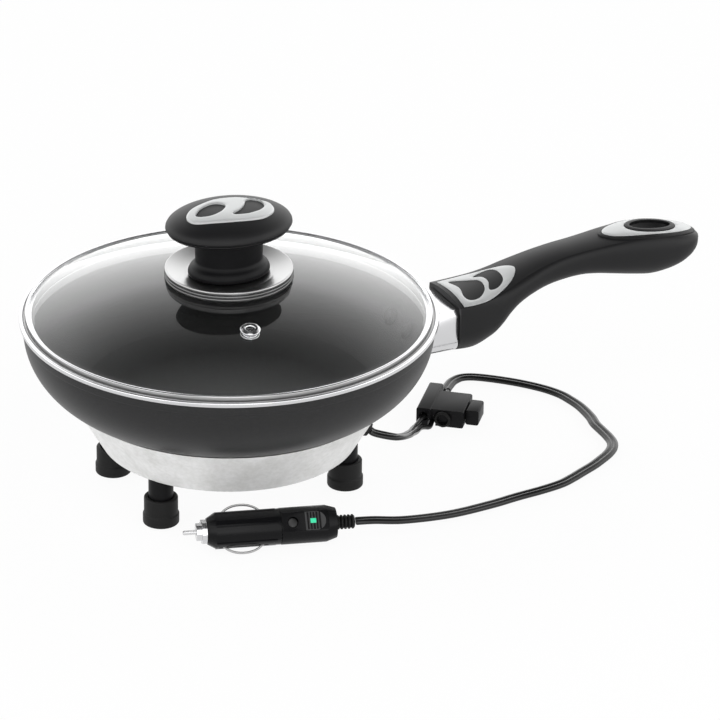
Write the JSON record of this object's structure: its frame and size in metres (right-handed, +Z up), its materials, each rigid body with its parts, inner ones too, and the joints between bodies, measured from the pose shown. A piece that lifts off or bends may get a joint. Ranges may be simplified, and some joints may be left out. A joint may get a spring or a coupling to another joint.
{
  "type": "electric travel skillet",
  "caption": "Round non-stick skillet on a heated cast base with legs, domed glass lid, oval knob, long handle and a flat cord with inline fuse holder and vehicle socket plug.",
  "frame": {"origin": "on the floor under the middle of the skillet and its handle, cord left out", "axes": "+X along the handle, towards its end, and +Z up"},
  "size_m": [0.3956, 0.2244, 0.1614],
  "materials": {
    "pan_coating": "smooth non-stick coating, soft sheen",
    "cast_metal": "cast, finely mottled",
    "lid_glass": "clear, polished",
    "bright_steel": "polished",
    "rubber": "matte",
    "phenolic": "satin moulded",
    "soft_touch": "soft, finely textured",
    "silver_trim": "satin silver",
    "zinc_steel": "zinc plated",
    "heater_sheath": "heat stained",
    "fibre_pad": "pressed fibre",
    "terminal_ceramic": "unglazed",
    "cord_jacket": "smooth jacket, slight sheen",
    "plug_plastic": "moulded, slight sheen",
    "lamp_green": "translucent",
    "fuse_plastic": "translucent brown"
  },
  "bodies": {
    "skillet": {"base_cover": "zinc_steel", "base_housing": "cast_metal", "blade_fuse": "fuse_plastic", "centre_nut": "zinc_steel", "centre_stud": "zinc_steel", "cord_grommet": "rubber", "cord_lead": "cord_jacket", "cord_main": "cord_jacket", "foot_1": "rubber", "foot_2": "rubber", "foot_3": "rubber", "foot_4": "rubber", "fuse_holder": "plug_plastic", "fuse_tether": "rubber", "handle_bracket": "cast_metal", "handle_end_trim": "silver_trim", "handle_ferrule": "bright_steel", "handle_front_trim": "silver_trim", "handle_grip": "soft_touch", "handle_screw": "zinc_steel", "heater_clamp": "zinc_steel", "heater_pad": "fibre_pad", "heater_ring": "heater_sheath", "inner_wires": "cord_jacket", "leg_1": "phenolic", "leg_2": "phenolic", "leg_3": "phenolic", "leg_4": "phenolic", "leg_screw_1": "zinc_steel", "leg_screw_2": "zinc_steel", "leg_screw_3": "zinc_steel", "leg_screw_4": "zinc_steel", "pan": "pan_coating", "pan_rivet_1": "cast_metal", "pan_rivet_2": "cast_metal", "plug_barrel": "plug_plastic", "plug_fuse": "lid_glass", "plug_lamp": "lamp_green", "plug_lower_shell": "plug_plastic", "plug_nose_ring": "bright_steel", "plug_relief": "rubber", "plug_screw": "zinc_steel", "plug_upper_shell": "plug_plastic", "terminal_block": "terminal_ceramic", "thermal_cutout": "phenolic"},
    "lid": {"knob_cap": "soft_touch", "knob_disc": "bright_steel", "knob_gasket": "rubber", "knob_screw": "zinc_steel", "knob_stem": "phenolic", "knob_trim": "silver_trim", "knob_washer": "zinc_steel", "lid_band": "bright_steel", "lid_glass": "lid_glass", "lid_vent": "bright_steel"},
    "fuse_cap": {"fuse_cap": "plug_plastic"},
    "plug_tip": {"plug_tip": "bright_steel"},
    "contact_lower": {"plug_contact_lower": "bright_steel"},
    "contact_upper": {"plug_contact_upper": "bright_steel"}
  },
  "joints": [
    {"name": "lid_lift", "type": "slide", "parent": "skillet", "child": "lid", "axis": [0, 0, 1], "range_m": [0, 0.12]},
    {"name": "fuse_cap_pull", "type": "slide", "parent": "skillet", "child": "fuse_cap", "axis": [0.7826, -0.6225, 0], "range_m": [0, 0.018]},
    {"name": "plug_tip_press", "type": "slide", "parent": "skillet", "child": "plug_tip", "axis": [0.9641, -0.2656, 0], "range_m": [0, 0.003], "stiffness_N_per_m": 400, "springref_m": -0.002},
    {"name": "contact_lower_press", "type": "slide", "parent": "skillet", "child": "contact_lower", "axis": [0.1707, 0.6197, 0.766], "range_m": [0, 0.003], "stiffness_N_per_m": 300, "springref_m": -0.001},
    {"name": "contact_upper_press", "type": "slide", "parent": "skillet", "child": "contact_upper", "axis": [-0.1707, -0.6197, -0.766], "range_m": [0, 0.003], "stiffness_N_per_m": 300, "springref_m": -0.001}
  ]
}
